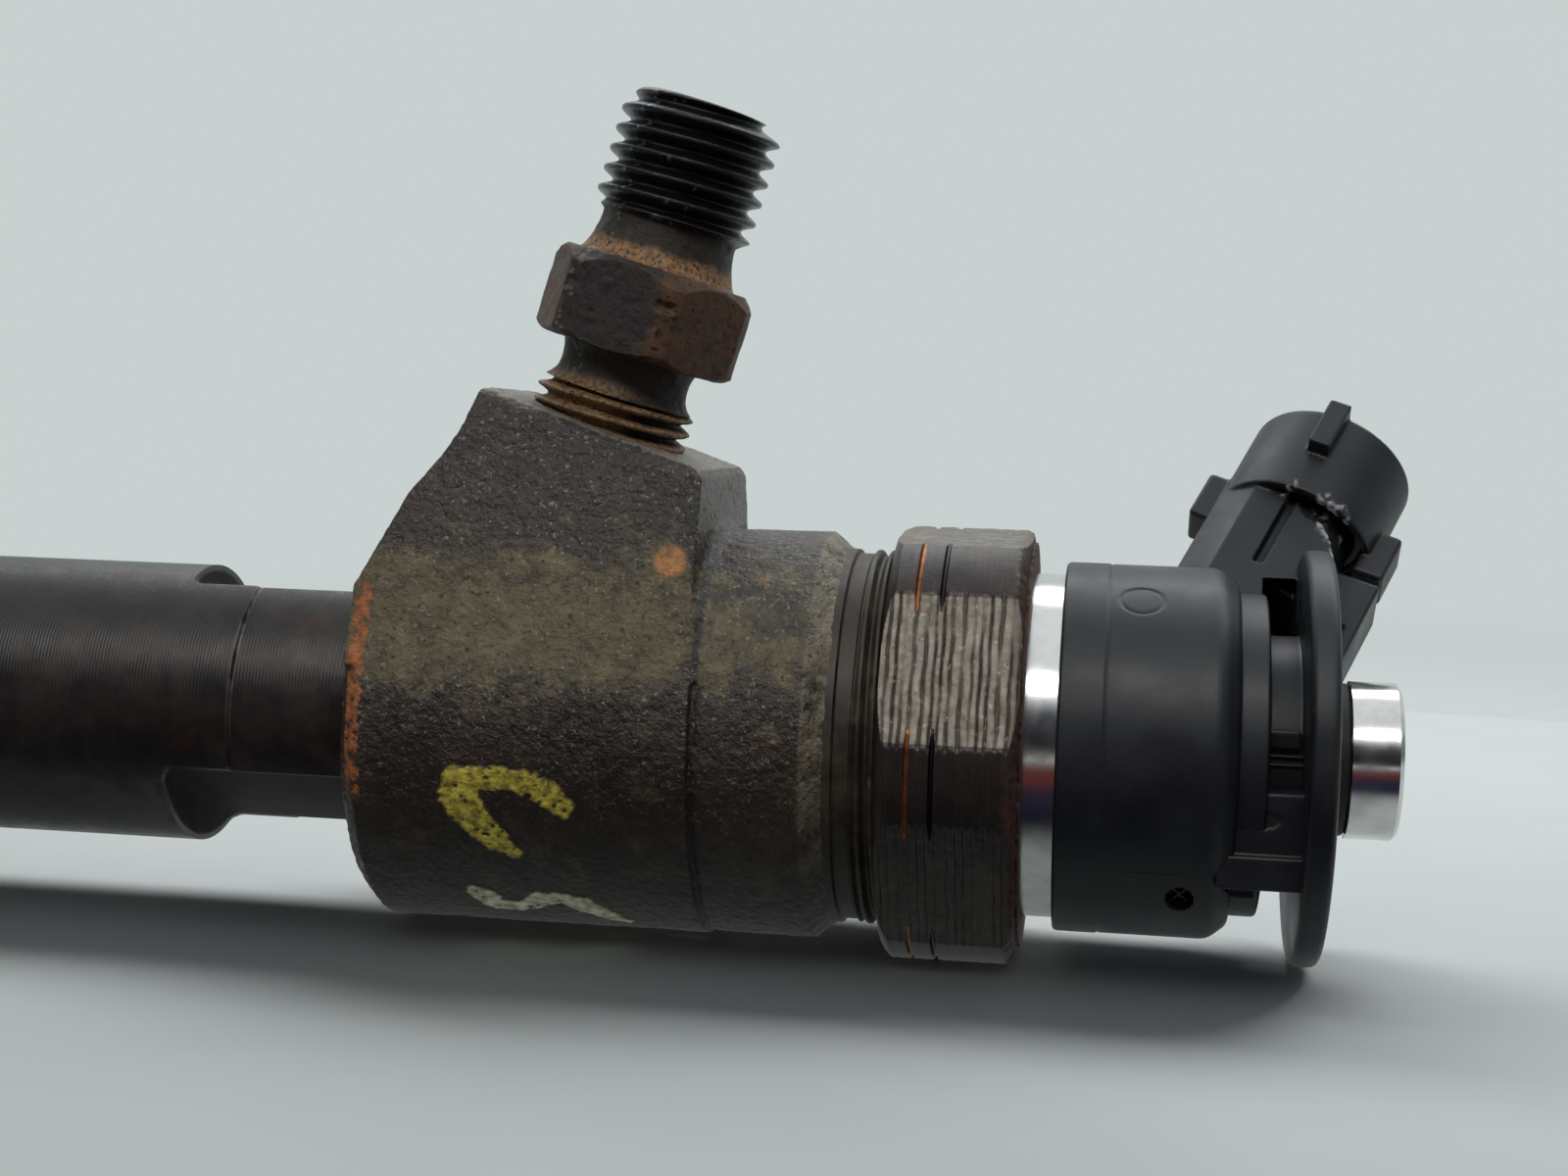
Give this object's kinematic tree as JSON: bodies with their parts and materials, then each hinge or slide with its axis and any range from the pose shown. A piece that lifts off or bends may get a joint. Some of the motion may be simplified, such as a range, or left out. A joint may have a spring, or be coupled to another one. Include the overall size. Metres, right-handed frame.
{
  "type": "fuel injector",
  "caption": "Common-rail fuel injector: long steel body with clamp flats, slanted threaded inlet, solenoid nut, black plug socket and polished return nipple; needle and valve pin slide.",
  "frame": {"origin": "centre of the sealing seat, on the lower face of the copper washer, on the injector axis", "axes": "+X along the injector axis from the nozzle to the return nipple, +Z towards the high-pressure inlet, +Y to the side that the plug socket leans to"},
  "size_m": [0.1866, 0.0394, 0.0627],
  "materials": {
    "forged_steel": "dark forged and turned steel, oily, light rust",
    "inlet_steel": "dark steel with brown rust",
    "nut_steel": "satin steel with milled flats",
    "turned_steel": "turned steel",
    "hard_steel": "ground hardened steel",
    "polished_steel": "polished steel",
    "spring_steel": "spring wire",
    "core_iron": "sintered soft iron",
    "copper": "copper",
    "contact_brass": "tinned brass",
    "black_plastic": "satin black moulded plastic",
    "brown_plastic": "moulded plastic",
    "seal_plastic": "hard seal plastic",
    "seal_rubber": "black rubber"
  },
  "bodies": {
    "injector": {"nozzle_body": "turned_steel", "nozzle_retaining_nut": "nut_steel", "sealing_washer": "copper", "nozzle_dowel_pins": "hard_steel", "nozzle_spring": "spring_steel", "spring_shim": "hard_steel", "injector_body": "forged_steel", "inlet_connector": "inlet_steel", "inlet_filter": "hard_steel", "inlet_seal_ring": "core_iron", "valve_seal_ring": "seal_plastic", "valve_body": "turned_steel", "valve_clamping_nut": "nut_steel", "armature_guide": "turned_steel", "armature_spring": "spring_steel", "stroke_ring": "hard_steel", "air_gap_shim": "hard_steel", "magnet_core": "core_iron", "coil_bobbin": "brown_plastic", "coil_winding": "copper", "coil_leads": "copper", "lead_carrier": "brown_plastic", "magnet_sleeve": "polished_steel", "solenoid_nut": "nut_steel", "body_o_ring": "seal_rubber", "flange_o_ring": "seal_rubber", "valve_spring": "spring_steel", "valve_spring_shim": "hard_steel", "return_nipple": "polished_steel", "return_seal_ring": "seal_rubber", "electrical_cap": "black_plastic", "terminal_pins": "contact_brass"},
    "needle": {"nozzle_needle": "hard_steel", "pressure_pin": "hard_steel"},
    "piston": {"control_piston": "hard_steel"},
    "valve_pin": {"armature_pin": "hard_steel", "armature_clip": "hard_steel", "ball_holder": "hard_steel", "valve_ball": "hard_steel"},
    "armature": {"armature_plate": "core_iron"}
  },
  "joints": [
    {"name": "needle_lift", "type": "slide", "parent": "injector", "child": "needle", "axis": [1, 0, 0], "range_m": [0, 0.00025], "stiffness_N_per_m": 3000, "springref_m": -0.004, "deforming": ["nozzle_spring"]},
    {"name": "piston_lift", "type": "slide", "parent": "injector", "child": "piston", "axis": [1, 0, 0], "range_m": [0, 0.00025]},
    {"name": "valve_lift", "type": "slide", "parent": "injector", "child": "valve_pin", "axis": [1, 0, 0], "range_m": [0, 0.00005], "stiffness_N_per_m": 2000, "springref_m": -0.004, "deforming": ["valve_spring"]},
    {"name": "armature_overtravel", "type": "slide", "parent": "valve_pin", "child": "armature", "axis": [1, 0, 0], "range_m": [-0.00004, 0], "stiffness_N_per_m": 1000, "springref_m": 0.002, "deforming": ["armature_spring"]}
  ],
  "couplings": [
    {"joint": "piston_lift", "follows": "needle_lift", "ratio": 1}
  ]
}
